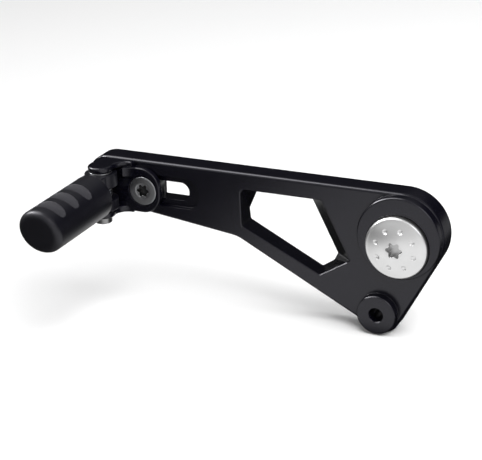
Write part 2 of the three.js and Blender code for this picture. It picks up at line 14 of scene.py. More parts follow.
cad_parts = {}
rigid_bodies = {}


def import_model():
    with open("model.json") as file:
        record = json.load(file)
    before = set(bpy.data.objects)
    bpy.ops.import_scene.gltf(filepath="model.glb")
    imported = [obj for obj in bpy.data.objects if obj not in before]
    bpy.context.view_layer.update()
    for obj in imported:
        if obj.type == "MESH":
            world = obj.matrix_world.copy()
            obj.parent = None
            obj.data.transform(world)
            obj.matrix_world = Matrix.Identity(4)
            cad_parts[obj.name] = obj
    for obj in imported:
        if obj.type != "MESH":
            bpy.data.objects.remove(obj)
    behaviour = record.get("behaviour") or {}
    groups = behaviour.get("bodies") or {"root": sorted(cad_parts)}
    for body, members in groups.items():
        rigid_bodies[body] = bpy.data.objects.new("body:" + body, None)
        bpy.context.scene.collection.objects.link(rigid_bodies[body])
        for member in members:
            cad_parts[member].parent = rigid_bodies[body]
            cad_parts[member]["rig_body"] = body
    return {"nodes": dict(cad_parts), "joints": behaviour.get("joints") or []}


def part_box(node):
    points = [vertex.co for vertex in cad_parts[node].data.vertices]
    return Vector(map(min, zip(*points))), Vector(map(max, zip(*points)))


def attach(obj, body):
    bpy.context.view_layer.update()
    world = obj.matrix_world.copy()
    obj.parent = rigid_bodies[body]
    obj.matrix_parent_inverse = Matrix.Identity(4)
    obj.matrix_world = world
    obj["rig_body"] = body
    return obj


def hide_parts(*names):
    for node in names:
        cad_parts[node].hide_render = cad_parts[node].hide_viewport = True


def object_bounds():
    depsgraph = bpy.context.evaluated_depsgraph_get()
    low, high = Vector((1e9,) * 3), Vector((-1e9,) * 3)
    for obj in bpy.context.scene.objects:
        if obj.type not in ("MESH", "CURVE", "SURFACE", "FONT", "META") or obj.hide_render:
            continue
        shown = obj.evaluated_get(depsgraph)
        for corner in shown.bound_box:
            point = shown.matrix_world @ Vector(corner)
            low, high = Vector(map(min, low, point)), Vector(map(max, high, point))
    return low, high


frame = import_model()
cad_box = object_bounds()

MM = 0.001    # metres in a millimetre
ROUND = 128   # facets around the large turned pieces
SMALL = 72    # facets around pins, screws and washers


def joint_in_frame(name):
    """A joint's place in the CAD frame, in metres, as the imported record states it."""
    joint = next(entry for entry in frame["joints"] if entry["name"] == name)
    return Vector(joint["pos_m"])


PIVOT = joint_in_frame("lever_pivot")


def box_mm(node):
    """(lowest corner, highest corner) of a CAD node in millimetres from the pivot."""
    return [(Vector(corner) - PIVOT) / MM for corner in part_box(node)]


def joint_place(name):
    """A joint's place in millimetres from the pivot."""
    return (joint_in_frame(name) - PIVOT) / MM


# ------------------------------------------------------------------ places and sizes that pieces share

HINGE_X, HINGE_Y, _ = joint_place("toe_fold")
SCREW_X, _, SCREW_Z = joint_place("holder_turn")

arm_low, arm_high = box_mm("lever_arm")
bolt_low, bolt_high = box_mm("pivot_bolt")
holder_low, holder_high = box_mm("toe_holder")
screw_low, screw_high = box_mm("clamp_screw")
pin_low, pin_high = box_mm("hinge_pin")

# Levels along Y, from the outer side to the motorcycle's side.
BOLT_TOP = bolt_low[1]
BOSS_FACE = arm_low[1]
HOLDER_FRONT = screw_low[1]
HOLDER_BACK = -5.05
ARM_FRONT = -5.0
ARM_BACK = arm_high[1]

# Radii of the driver sockets.
BOLT_SOCKET = 3.3
SCREW_SOCKET = 2.8

PEG_RADIUS = 9.15
PEG_Z = 8.55
GRIP_CENTRES = [-35.9, -45.6, -55.3]
GRIP_HALF_WIDTH = 3.1


# ------------------------------------------------------------------ mesh building

def mesh_object(name, points, faces):
    """A new object of these points and faces, with its faces turned outwards."""
    same_point = 1e-5
    mesh = bpy.data.meshes.new(name)
    mesh.from_pydata([tuple(point) for point in points], [], faces)
    work = bmesh.new()
    work.from_mesh(mesh)
    bmesh.ops.remove_doubles(work, verts=work.verts, dist=same_point)
    bmesh.ops.recalc_face_normals(work, faces=work.faces)
    work.to_mesh(mesh)
    work.free()
    thing = bpy.data.objects.new(name, mesh)
    bpy.context.scene.collection.objects.link(thing)
    return thing


def polar(radius, angle):
    return radius * math.cos(angle), radius * math.sin(angle)


def clamped(value):
    return min(1.0, max(0.0, value))


def softened(profile, radius, closed=False, steps=3, least_turn=25):
    """A profile with its corners replaced by small arcs, so that edges catch the light.

    Corners that turn by less than least_turn degrees stay as they are. An arc takes up less than
    half of the sides that it joins.
    """
    largest_share = 0.45
    result = []
    count = len(profile)
    for i, corner in enumerate(profile):
        if not closed and i in (0, count - 1):
            result.append(corner)
            continue
        here = Vector(corner)
        back = Vector(profile[i - 1]) - here
        ahead = Vector(profile[(i + 1) % count]) - here
        opening = back.angle(ahead, math.pi)
        if math.pi - opening < math.radians(least_turn):
            result.append(corner)
            continue
        reach = radius / math.tan(opening / 2)
        reach = min(reach, largest_share * back.length, largest_share * ahead.length)
        start = here + back.normalized() * reach
        end = here + ahead.normalized() * reach
        for k in range(steps + 1):
            t = k / steps
            point = start * (1 - t) ** 2 + here * 2 * t * (1 - t) + end * t ** 2
            result.append((point.x, point.y))
    return result


def turned(name, profile, segments=SMALL, closed=False, soft=0.0):
    """A turned solid around the Y axis from a list of (radius, y)."""
    on_axis = 1e-6
    if soft:
        profile = softened(profile, soft, closed)
    points = []
    rings = []
    for radius, y in profile:
        if radius < on_axis:
            rings.append([len(points)] * segments)
            points.append((0, y, 0))
            continue
        rings.append(range(len(points), len(points) + segments))
        for k in range(segments):
            x, z = polar(radius, 2 * math.pi * k / segments)
            points.append((x, y, z))
    pairs = list(zip(rings, rings[1:]))
    if closed:
        pairs.append((rings[-1], rings[0]))
    faces = []
    for one, two in pairs:
        for k in range(segments):
            nxt = (k + 1) % segments
            loop = dict.fromkeys((one[k], one[nxt], two[nxt], two[k]))
            if len(loop) > 2:
                faces.append(tuple(loop))
    return mesh_object(name, points, faces)


def bar(name, radius, start, end, segments=SMALL, soft=0.0):
    """A round bar along Y from start to end."""
    return turned(name, [(0, start), (radius, start), (radius, end), (0, end)], segments, soft=soft)


def band_around(ends, grow=0.0, step=3.0):
    """The outline of a band pulled tight around (x, z, radius) ends, given counter-clockwise.

    A negative radius is a hollow bend and a radius of zero is a corner. The band is grown
    outwards by grow, which leaves the number of its points unchanged. Arcs get a point every
    step degrees.
    """
    count = len(ends)
    leaving = []
    for i, (x, z, radius) in enumerate(ends):
        next_x, next_z, next_radius = ends[(i + 1) % count]
        dx = next_x - x
        dz = next_z - z
        share = (radius - next_radius) / math.hypot(dx, dz)
        lean = math.acos(max(-1.0, min(1.0, share)))
        leaving.append(math.atan2(dz, dx) - lean)
    outline = []
    for i, (x, z, radius) in enumerate(ends):
        start = leaving[i - 1]
        turn = (leaving[i] - start + math.pi) % (2 * math.pi) - math.pi
        if radius == 0:
            dx, dz = polar(grow / math.cos(turn / 2), start + turn / 2)
            outline.append((x + dx, z + dz))
            continue
        if radius > 0 and turn < 0:
            turn += 2 * math.pi
        steps = max(1, math.ceil(abs(turn) / math.radians(step)))
        for k in range(steps + 1):
            dx, dz = polar(radius + grow, start + turn * k / steps)
            outline.append((x + dx, z + dz))
    return outline


def skin(name, points, count):
    """A solid over a run of loops of count points each, closed by a flat face at both ends."""
    last = len(points) - count
    faces = [tuple(range(count)), tuple(range(last, len(points)))]
    for base in range(0, last, count):
        for k in range(count):
            nxt = (k + 1) % count
            faces.append((base + k, base + nxt, base + count + nxt, base + count + k))
    return mesh_object(name, points, faces)


def loft(name, outlines, upright=False):
    """A solid through a stack of equal outlines, each (points, level).

    The outlines lie in XZ and are stacked along Y, or in XY along Z if upright is true.
    """
    points = []
    for outline, level in outlines:
        for u, v in outline:
            points.append((u, v, level) if upright else (u, level, v))
    return skin(name, points, len(outlines[0][0]))


def slab(name, ends, start, end, edge=0.0, upright=False):
    """A flat plate with the outline of a band, with its edges rounded by the radius edge."""
    steps = 4 if edge else 0
    rounding = []
    for k in range(steps + 1):
        angle = math.pi / 2 * k / max(steps, 1)
        inset = edge * (1 - math.sin(angle))
        depth = edge * (1 - math.cos(angle))
        rounding.append((inset, depth))
    layers = [(band_around(ends, -inset), start + depth) for inset, depth in rounding]
    layers += [(band_around(ends, -inset), end - depth) for inset, depth in reversed(rounding)]
    return loft(name, layers, upright)


def moved(thing, x=0.0, y=0.0, z=0.0):
    thing.data.transform(Matrix.Translation((x, y, z)))
    return thing


def stood_up(thing):
    """Turns a piece made around Y so that it stands along Z, its y becoming its z."""
    thing.data.transform(Matrix.Rotation(math.pi / 2, 4, "X"))
    return thing


def combined(operation, thing, *others):
    """Cuts the other solids from the first one, or joins them to it."""
    for other in others:
        modifier = thing.modifiers.new("solid", "BOOLEAN")
        modifier.operation = operation
        modifier.solver = "MANIFOLD"
        modifier.object = other
        graph = bpy.context.evaluated_depsgraph_get()
        result = bpy.data.meshes.new_from_object(thing.evaluated_get(graph))
        thing.modifiers.remove(modifier)
        old = thing.data
        thing.data = result
        bpy.data.meshes.remove(old)
        bpy.data.objects.remove(other)


def cut(thing, *others):
    combined("DIFFERENCE", thing, *others)


def joined(thing, *others):
    combined("UNION", thing, *others)


def lobed_socket(radius, start, end):
    """The cutter of a six-lobed driver socket along Y."""
    lobes = 6
    wave = 0.15    # half of the depth between lobes, as a share of the radius
    count = 96
    outline = []
    for k in range(count):
        angle = 2 * math.pi * k / count
        outline.append(polar(radius * (1 - wave + wave * math.cos(lobes * angle)), angle))
    return loft("socket", [(outline, start), (outline, end)])


# ------------------------------------------------------------------ materials

class Nodes:
    """The node tree of a material or a world, with short calls for adding and joining nodes."""

    def __init__(self, owner):
        owner.use_nodes = True
        self.owner = owner
        self.tree = owner.node_tree
        self.shader = self.tree.nodes.get("Principled BSDF")

    def feed(self, slot, value):
        """Joins another node's output to an input, or sets the input to a plain value."""
        if isinstance(value, bpy.types.NodeSocket):
            self.tree.links.new(value, slot)
        else:
            slot.default_value = value

    def fill(self, node, inputs):
        """Feeds a node's inputs by name, with an underscore for each space in the name."""
        for key, value in inputs.items():
            self.feed(node.inputs[key.replace("_", " ")], value)

    def add(self, kind, **inputs):
        """A new node with some of its inputs fed."""
        node = self.tree.nodes.new(kind)
        self.fill(node, inputs)
        return node

    def set(self, **inputs):
        """Feeds the material's own shader."""
        self.fill(self.shader, inputs)

    def place(self):
        """The object coordinates, in millimetres from the pivot."""
        raw = self.add("ShaderNodeTexCoord").outputs["Object"]
        scaled = self.tree.nodes.new("ShaderNodeVectorMath")
        scaled.operation = "MULTIPLY_ADD"
        for slot, value in zip(scaled.inputs, (raw, (1 / MM, 1 / MM, 1 / MM), -PIVOT / MM)):
            self.feed(slot, value)
        return scaled.outputs["Vector"]

    def xyz(self, vector):
        return self.add("ShaderNodeSeparateXYZ", Vector=vector).outputs

    def noise(self, place, scale, detail=3.0):
        """Soft noise from 0 to 1, finer with a larger scale."""
        return self.add("ShaderNodeTexNoise", Vector=place, Scale=scale, Detail=detail).outputs["Fac"]

    def ramp(self, value, start, end, low=0.0, high=1.0, smooth=False):
        """Runs from low, where the value is start, to high, where it is end, and is level beyond."""
        span = {"From_Min": start, "From_Max": end, "To_Min": low, "To_Max": high}
        node = self.add("ShaderNodeMapRange", Value=value, **span)
        if smooth:
            node.interpolation_type = "SMOOTHSTEP"
        return node.outputs["Result"]

    def span(self, value, low, high):
        """A 0 to 1 value spread over low to high."""
        return self.ramp(value, 0.0, 1.0, low, high)

    def calc(self, operation, first, second=0.0):
        """The result of one arithmetic step."""
        node = self.tree.nodes.new("ShaderNodeMath")
        node.operation = operation
        for slot, value in zip(node.inputs, (first, second)):
            self.feed(slot, value)
        return node.outputs[0]

    def plus(self, first, second):
        return self.calc("ADD", first, second)

    def times(self, first, *others):
        for other in others:
            first = self.calc("MULTIPLY", first, other)
        return first

    def wave(self, distance, pitch, shift):
        """A sine wave along a distance, moved along by shift radians."""
        return self.calc("SINE", self.plus(self.times(distance, 2 * math.pi / pitch), shift))

    def distance_from(self, place, axis, centre):
        """The distance in millimetres from a line through centre along an axis."""
        parts = self.xyz(place)
        squares = []
        for name, value in zip("XYZ", centre):
            if name != axis:
                offset = self.calc("SUBTRACT", parts[name], value)
                squares.append(self.times(offset, offset))
        return self.calc("SQRT", self.plus(*squares))

    def mix(self, kind, factor, first, second):
        """Blends two numbers (kind FLOAT) or two colours (kind RGBA) by a 0 to 1 factor."""
        node = self.tree.nodes.new("ShaderNodeMix")
        node.data_type = kind
        self.fill(node, {"Factor": factor, "A": first, "B": second})
        return node.outputs["Result"]

    def tint(self, factor, dark, light):
        """A colour between two tints."""
        return self.mix("RGBA", factor, (*dark, 1), (*light, 1))

    def rough_bump(self, height, depth, edge=0.0):
        """A bump of the given depth in millimetres, over edges rounded by the given radius."""
        bump = self.add("ShaderNodeBump", Height=height, Distance=depth * MM, Strength=1.0)
        if edge:
            rounded = self.add("ShaderNodeBevel", Radius=edge * MM)
            rounded.samples = 6
            self.feed(bump.inputs["Normal"], rounded.outputs["Normal"])
        self.set(Normal=bump.outputs["Normal"])


def darker(colour, share):
    return tuple(share * part for part in colour)


COAT_TINT = (0.95, 0.94, 1.0, 1.0)   # the black coat's reflections are faintly violet
COAT_EDGE = 0.25                     # the radius that its edges are shaded with


def black_anodised(name, roughness):
    """Black anodised aluminium: a fine bead-blasted grain under a satin dark coat."""
    nodes = Nodes(bpy.data.materials.new(name))
    place = nodes.place()
    cloud = nodes.noise(place, scale=0.12)
    grain = nodes.noise(place, scale=6.0, detail=2.0)
    nodes.set(
        Base_Color=nodes.tint(cloud, (0.0014, 0.0013, 0.0036), (0.0024, 0.0022, 0.0050)),
        Roughness=nodes.span(cloud, roughness - 0.03, roughness + 0.03),
        IOR=1.5,
        Specular_Tint=COAT_TINT,
    )
    nodes.rough_bump(grain, 0.0015, edge=COAT_EDGE)
    return nodes.owner


def peg_black(name):
    """The peg's black anodising: satin on the turned bar, paler and finely machined in the grips."""
    nodes = Nodes(bpy.data.materials.new(name))
    place = nodes.place()
    along = nodes.xyz(place)["Y"]
    reach = nodes.distance_from(place, "Y", (HINGE_X, 0, PEG_Z))
    first_edge = GRIP_CENTRES[0] + GRIP_HALF_WIDTH
    last_edge = GRIP_CENTRES[-1] - GRIP_HALF_WIDTH
    below_skin = nodes.ramp(reach, PEG_RADIUS - 0.05, PEG_RADIUS - 0.15)
    past_end = nodes.ramp(along, last_edge - 0.9, last_edge - 0.3)
    before_root = nodes.ramp(along, first_edge + 1.8, first_edge + 0.8)
    in_grip = nodes.times(below_skin, past_end, before_root)
    cloud = nodes.noise(place, scale=0.15)
    grain = nodes.noise(place, scale=5.0, detail=2.0)
    wobble = nodes.times(nodes.noise(place, scale=0.5), 3.0)
    tool_marks = nodes.times(nodes.wave(along, pitch=0.55, shift=wobble), in_grip)
    nodes.set(
        Base_Color=nodes.tint(in_grip, (0.0028, 0.0027, 0.0050), (0.024, 0.0235, 0.0275)),
        Roughness=nodes.plus(nodes.span(cloud, 0.38, 0.44), nodes.times(in_grip, 0.3)),
        Specular_IOR_Level=nodes.span(in_grip, 0.5, 0.2),
        Specular_Tint=COAT_TINT,
    )
    nodes.rough_bump(nodes.plus(nodes.times(tool_marks, 0.5), grain), 0.003, edge=COAT_EDGE)
    return nodes.owner


def turned_metal(name, colour, roughness, axis, centre, pitch, depth, recess=None):
    """Bare metal with fine turning rings, of a pitch and depth, around a line along an axis.

    A recess is the (radius, level, grey) of a driver socket, and its inside is painted darker as
    painted shade.
    """
    nodes = Nodes(bpy.data.materials.new(name))
    place = nodes.place()
    reach = nodes.distance_from(place, axis, centre)
    wobble = nodes.noise(place, scale=0.6)
    rings = nodes.span(nodes.wave(reach, pitch, wobble), 0.35, 0.65)
    smudge = nodes.noise(place, scale=0.22)
    tint = nodes.tint(smudge, darker(colour, 0.86), colour)
    if recess:
        radius, level, shade_grey = recess
        # Painted shade: the inside of the driver socket is painted darker.
        near = nodes.ramp(reach, radius + 0.1, radius)
        deep = nodes.ramp(nodes.xyz(place)["Y"], level, level + 0.8)
        tint = nodes.mix("RGBA", nodes.times(near, deep), tint, (shade_grey, shade_grey, shade_grey, 1))
    nodes.set(
        Base_Color=tint,
        Roughness=nodes.span(smudge, roughness + 0.05, roughness - 0.05),
        Metallic=1.0,
    )
    nodes.rough_bump(rings, depth, edge=0.15)
    return nodes.owner


def plain_metal(name, colour, roughness):
    """Plated or sintered metal with small stains and a fine grain."""
    nodes = Nodes(bpy.data.materials.new(name))
    place = nodes.place()
    stain = nodes.noise(place, scale=0.8)
    grain = nodes.noise(place, scale=9.0, detail=2.0)
    nodes.set(
        Base_Color=nodes.tint(stain, darker(colour, 0.75), colour),
        Roughness=nodes.span(stain, roughness + 0.08, roughness - 0.05),
        Metallic=1.0,
    )
    nodes.rough_bump(grain, 0.002, edge=0.08)
    return nodes.owner


def soft_rubber(name):
    """Black rubber with a dull, grainy skin."""
    nodes = Nodes(bpy.data.materials.new(name))
    grain = nodes.noise(nodes.place(), scale=5.0, detail=4.0)
    nodes.set(
        Base_Color=nodes.tint(grain, (0.010, 0.010, 0.010), (0.022, 0.022, 0.022)),
        Roughness=nodes.span(grain, 0.6, 0.8),
    )
    nodes.rough_bump(grain, 0.01)
    return nodes.owner


def finished(thing, name, node, material, sharp=32.0):
    """Turns a millimetre mesh into a named piece that rides and stands in for a CAD node.

    Edges that turn by more than sharp degrees are shaded as sharp edges.
    """
    thing.name = name
    thing.data.name = name
    thing.data.transform(Matrix.Translation(PIVOT) @ Matrix.Scale(MM, 4))
    thing.data.materials.clear()
    thing.data.materials.append(material)
    thing.data.polygons.foreach_set("material_index", [0] * len(thing.data.polygons))
    thing.data.shade_smooth()
    thing.data.set_sharp_from_angle(angle=math.radians(sharp))
    normals = thing.modifiers.new("normals", "WEIGHTED_NORMAL")
    normals.keep_sharp = True
    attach(thing, frame["nodes"][node]["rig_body"])
    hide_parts(node)


BLACK = black_anodised("black_anodised", 0.24)
PEG_BLACK = peg_black("peg_black")
# The bolt's and the screw's sockets are painted darker inside, as painted shade.
BOLT_SILVER = turned_metal(
    "bolt_silver", (0.82, 0.82, 0.82), 0.34, "Y", (0, 0, 0), pitch=0.35, depth=0.0012,
    recess=(BOLT_SOCKET, BOLT_TOP + 0.05, 0.5),
)
DARK_STEEL = turned_metal(
    "dark_steel", (0.86, 0.87, 0.89), 0.30, "Y", (SCREW_X, 0, SCREW_Z), pitch=0.5, depth=0.003,
    recess=(SCREW_SOCKET, HOLDER_FRONT + 0.1, 0.09),
)
PIN_SILVER = turned_metal(
    "pin_silver", (0.34, 0.34, 0.34), 0.34, "Z", (HINGE_X, HINGE_Y, 0), pitch=0.4, depth=0.001,
)
ZINC = plain_metal("zinc_steel", (0.62, 0.63, 0.65), 0.30)
BRONZE = plain_metal("bronze", (0.50, 0.33, 0.16), 0.42)
SPRING_STEEL = plain_metal("spring_steel", (0.36, 0.37, 0.39), 0.28)
RUBBER = soft_rubber("seal_rubber")

# ------------------------------------------------------------------ the lever arm

# The round ends of the plate's outline and the hollow bend of its underside, as (x, z, radius).
PIVOT_END = (0.1, 3.0, 16.9)
LINKAGE_END = (-7.0, -31.9, 6.2)
TOE_END = (-123.8, 10.05, 9.85)
UNDERSIDE_BEND = (-71.6, -18.65, -12.0)

PIVOT_BOSS_RADIUS = 16.4
LINKAGE_BOSS_RADIUS = 7.9
LINKAGE_X = -8.6
LINKAGE_Z = -29.6
LINKAGE_HOLE = 2.8
BORE_RADIUS = 8.5
OUTER_RECESS_RADIUS = 12.6
OUTER_RECESS_FLOOR = -5.4
INNER_RECESS_RADIUS = 12.0
INNER_RECESS_FLOOR = 3.0
THROUGH = 10.0    # cutters that pass through the plate reach this level on both sides

# The window's corners on the outer face and on the motorcycle's side, counter-clockwise.
WINDOW_OUTER = [
    (-65.6, -2.2), (-32.8, -17.9), (-21.6, -11.0), (-20.3, -9.8),
    (-31.6, 13.0), (-64.8, 13.0), (-65.8, 11.8),
]
WINDOW_INNER = [
    (-66.0, -2.6), (-35.4, -18.3), (-30.6, -15.0), (-29.1, -12.0),
    (-41.4, 13.0), (-61.4, 13.0), (-66.4, 1.9),
]
WINDOW_CORNER = 0.9

SLOT_Z = 8.0
SLOT_LEFT = -120.0
CHANNEL_DEPTH = 2.0


def stadium(right, radius):
    """The outline of the slot, or of a channel around it, up to the centre of its right end."""
    return [(right, SLOT_Z, radius), (SLOT_LEFT, SLOT_Z, radius)]


def round_corners(corners):
    return softened(corners, WINDOW_CORNER, closed=True, steps=4, least_turn=0)


def widened(corners, grow):
    """A counter-clockwise outline with each side moved outwards by grow."""
    sharpest = 0.4    # keeps the point of a sharp corner short
    result = []
    count = len(corners)
    for i in range(count):
        before, here, after = (Vector(corners[j % count]) for j in (i - 1, i, i + 1))
        one = (here - before).normalized()
        two = (after - here).normalized()
        bisector = Vector((one.y + two.y, -one.x - two.x)).normalized()
        side = Vector((one.y, -one.x))
        result.append(tuple(here + bisector * grow / max(sharpest, bisector.dot(side))))
    return result


def lever_arm():
    """The flat plate with its two bosses, window, slot, channels, bore and linkage hole."""
    outline = [LINKAGE_END, PIVOT_END, TOE_END, UNDERSIDE_BEND]
    arm = slab("arm", outline, ARM_FRONT, ARM_BACK, edge=1.2)
    boss_root = ARM_FRONT + 2
    pivot_boss = bar("boss", PIVOT_BOSS_RADIUS, BOSS_FACE, boss_root, ROUND, soft=0.9)
    linkage_boss = bar("boss", LINKAGE_BOSS_RADIUS, BOSS_FACE, boss_root, SMALL, soft=0.9)
    joined(arm, moved(pivot_boss, PIVOT_END[0], 0, PIVOT_END[1]))
    joined(arm, moved(linkage_boss, LINKAGE_X, 0, LINKAGE_Z))

    outer = round_corners(WINDOW_OUTER)
    inner = round_corners(WINDOW_INNER)
    window = loft("window", [(outer, ARM_FRONT - 0.01), (inner, ARM_BACK + 0.01)])
    bevel = loft("bevel", [(widened(outer, 0.45), ARM_FRONT - 0.1), (outer, ARM_FRONT + 0.35)])
    cut(arm, window, bevel)

    slot = slab("slot", stadium(-92.6, 3.75), -THROUGH, THROUGH)
    outer_channel = slab("channel", stadium(-90, 6.4), -THROUGH, ARM_FRONT + CHANNEL_DEPTH)
    inner_channel = slab("channel", stadium(-91, 7), ARM_BACK - CHANNEL_DEPTH, THROUGH)
    cut(arm, outer_channel, inner_channel, slot)

    cut(arm, bar("bore", BORE_RADIUS, -THROUGH, THROUGH, ROUND))
    cut(arm, bar("sink", OUTER_RECESS_RADIUS, -THROUGH, OUTER_RECESS_FLOOR, ROUND))
    cut(arm, bar("sink", INNER_RECESS_RADIUS, INNER_RECESS_FLOOR, THROUGH, ROUND))

    bevel = 0.3
    mouth = LINKAGE_HOLE + bevel
    hole = turned("hole", [
        (0, -THROUGH), (mouth, -THROUGH), (mouth, BOSS_FACE), (LINKAGE_HOLE, BOSS_FACE + bevel),
        (LINKAGE_HOLE, ARM_BACK - bevel), (mouth, ARM_BACK), (mouth, THROUGH), (0, THROUGH),
    ])
    cut(arm, moved(hole, LINKAGE_X, 0, LINKAGE_Z))
    finished(arm, "arm", "lever_arm", BLACK)


lever_arm()

# ------------------------------------------------------------------ the pivot

BOLT_RADIUS = bolt_high[0]
RIM_ROUNDING = 1.2
RIM_LEVEL = -9.6    # where the rim's rounding runs out into the side of the head
CAP_RADIUS = BOLT_RADIUS - RIM_ROUNDING
CAP_TILT = (RIM_LEVEL - BOLT_TOP - RIM_ROUNDING) / CAP_RADIUS ** 2
DIMPLES = 8
DIMPLE_CIRCLE = 8.0


def cap_face(radius):
    """The level of the head's slightly domed face at a radius."""
    return BOLT_TOP + CAP_TILT * radius ** 2


def threaded(radius, pitch, start, end, segments=48):
    """A threaded bar along Y: a helical groove wound into a bar, with a tapered tip."""
    depth = 0.55 * pitch
    core = radius - depth
    tip_length = 1.2 * pitch
    root_length = 0.6 * pitch
    rows_per_turn = 8
    rows = int((end - start) / pitch * rows_per_turn)
    points = []
    for i in range(rows + 1):
        y = start + (end - start) * i / rows
        tip = clamped((end - y) / tip_length)
        root = clamped((y - start) / root_length)
        for k in range(segments):
            phase = (y / pitch - k / segments) % 1.0
            groove = 1 - abs(2 * phase - 1)
            reach = radius - depth * clamped(1.25 * groove - 0.1)
            reach = min(reach, core + depth * tip)
            reach = reach * root + core * (1 - root)
            x, z = polar(reach, 2 * math.pi * k / segments)
            points.append((x, y, z))
    return skin("thread", points, segments)


def pivot_bolt():
    """The bolt that the lever turns on: a wide domed head with a socket and a ring of dimples."""
    steps = 12
    profile = []
    for k in range(steps):
        radius = CAP_RADIUS * k / steps
        profile.append((radius, cap_face(radius)))
    for degrees in range(90, -1, -10):
        x, y = polar(RIM_ROUNDING, math.radians(degrees))
        profile.append((CAP_RADIUS + x, RIM_LEVEL - y))
    seat = -7.0
    shank = 5.0
    relief = 3.3
    profile += [(BOLT_RADIUS, seat - 0.4), (BOLT_RADIUS - 0.4, seat), (shank, seat), (shank, 6.5)]
    profile += [(relief, 7.5), (relief, 9), (0, 9)]
    bolt = turned("bolt", profile, ROUND)
    cut(bolt, lobed_socket(BOLT_SOCKET, BOLT_TOP - 1, BOLT_TOP + 2.6))
    for i in range(DIMPLES):
        x, z = polar(DIMPLE_CIRCLE, math.radians(28.6 + 360 / DIMPLES * i))
        dimple = turned("dimple", [(0, 0.8), (1.1, -0.1), (1.6, -0.6), (1.6, -2), (0, -2)], 32)
        cut(bolt, moved(dimple, x, cap_face(DIMPLE_CIRCLE), z))
    joined(bolt, threaded(radius=4.0, pitch=1.25, start=8.0, end=bolt_high[1] - 0.02))
    finished(bolt, "bolt", "pivot_bolt", BOLT_SILVER)


pivot_bolt()

# ------------------------------------------------------------------ the toe holder and its clamp

UPPER_EAR_UNDERSIDE = 17.1
LOWER_EAR_TOP = 0.9
PLAY = 0.05    # the gap between the hinge pin's shoulders and the ears


def at_hinge(thing):
    """Stands a piece made around Y up on the hinge's axis."""
    return moved(stood_up(thing), HINGE_X, HINGE_Y)


def at_screw(thing):
    """Moves a piece made around Y to the clamp screw's axis."""
    return moved(thing, SCREW_X, 0, SCREW_Z)


def toe_holder():
    """The plate under the clamp screw's head, with two ears that carry the hinge pin."""
    left = holder_low[0]
    right = holder_high[0]
    bottom = -1.3
    top = 17.4
    plate = [
        (right - 8, bottom + 8, 8), (right - 8.5, top - 8.5, 8.5),
        (left + 2, top - 2, 2), (left + 2, bottom + 2, 2),
    ]
    holder = slab("holder", plate, HOLDER_FRONT, HOLDER_BACK, edge=0.6)

    ear_radius = 5.0
    fillet = 4.5
    fillet_y = HOLDER_FRONT - fillet
    fillet_x = HINGE_X + math.sqrt((ear_radius + fillet) ** 2 - (fillet_y - HINGE_Y) ** 2)
    ear_root = fillet_x + 1.0
    ear = [
        (HINGE_X, HINGE_Y, ear_radius),
        (fillet_x, fillet_y, -fillet),
        (ear_root, HOLDER_FRONT, 0),
        (ear_root, HOLDER_BACK, 0),
        (left, HOLDER_BACK, 0),
    ]
    joined(holder, slab("ear", ear, UPPER_EAR_UNDERSIDE, holder_high[2], edge=0.8, upright=True))
    joined(holder, slab("ear", ear, holder_low[2], LOWER_EAR_TOP, edge=0.9, upright=True))

    # A small gusset under the upper ear, between the ear and the plate.
    gusset_left = -114.8
    gusset_right = -110.3
    gusset = [
        (gusset_left, -10.0, 0), (gusset_right, HOLDER_FRONT, 0),
        (gusset_right, HOLDER_FRONT + 1, 0), (gusset_left, HOLDER_FRONT + 1, 0),
    ]
    joined(holder, slab("gusset", gusset, 13.9, 17.5, upright=True))
    joined(holder, at_screw(bar("pilot", 6.1, HOLDER_BACK - 1, holder_high[1], soft=0.2)))

    head_room = 6.15
    hole = 3.3
    sink = turned("sink", [
        (0, -12), (head_room, -12), (head_room, HOLDER_FRONT + 0.35),
        (hole, HOLDER_FRONT + 3.4), (hole, 0), (0, 0),
    ])
    cut(holder, at_screw(sink))
    lower_bore = 2.6
    upper_bore = 2.1
    cut(holder, at_hinge(bar("bore", lower_bore, -5, 2)))
    cut(holder, at_hinge(bar("bore", upper_bore, 16, pin_high[2] + 0.1)))
    finished(holder, "holder", "toe_holder", BLACK)


def clamp_screw():
    """The countersunk screw, with a shallow dish around its socket."""
    radius = screw_high[0] - SCREW_X
    face = HOLDER_FRONT
    shank = 2.5
    profile = [
        (0, face + 0.15), (3.2, face + 0.12), (3.4, face + 0.02),
        (radius - 0.3, face), (radius - 0.08, face + 0.08), (radius, face + 0.25),
        (radius, face + 0.4), (shank, face + 3.8), (shank, 1), (0, 1),
    ]
    screw = turned("screw", profile, 96)
    cut(screw, lobed_socket(SCREW_SOCKET, face - 1, face + 2.2))
    joined(screw, threaded(radius=3.0, pitch=1.0, start=0.5, end=screw_high[1] - 0.02))
    finished(at_screw(screw), "screw", "clamp_screw", DARK_STEEL)


def hinge_pin():
    """The pin that the peg folds on, with its head and hexagon socket below the lower ear."""
    bottom = pin_low[2]
    top = pin_high[2]
    head = 3.5
    barrel = 2.5
    tip = 2.0
    head_top = holder_low[2] - PLAY
    barrel_top = UPPER_EAR_UNDERSIDE - PLAY
    profile = [
        (0, bottom), (head, bottom), (head, head_top), (barrel, head_top),
        (barrel, barrel_top), (tip, barrel_top), (tip, top), (0, top),
    ]
    pin = turned("pin", profile, 64, soft=0.35)
    hexagon = [polar(1.75, math.radians(60 * k)) for k in range(6)]
    cut(pin, loft("socket", [(hexagon, bottom - 1), (hexagon, bottom + 1.6)]))
    finished(at_hinge(pin), "pin", "hinge_pin", PIN_SILVER)


# ------------------------------------------------------------------ the folding toe peg

PEG_ROOT = -20.4
PEG_END = -62.8
PEG_SLANT = 0.2            # how far the end face leans, for each millimetre of height
ROOT_BEVEL = 2.2
END_ROUNDING = 3.0
GRIP_DEPTH = 1.2
GRIP_FLOOR_RADIUS = 13.5   # the radius of a grip's floor around the grip's own axis
GRIP_LEAN = math.radians(9)    # the grips' tilt from straight up towards the pivot


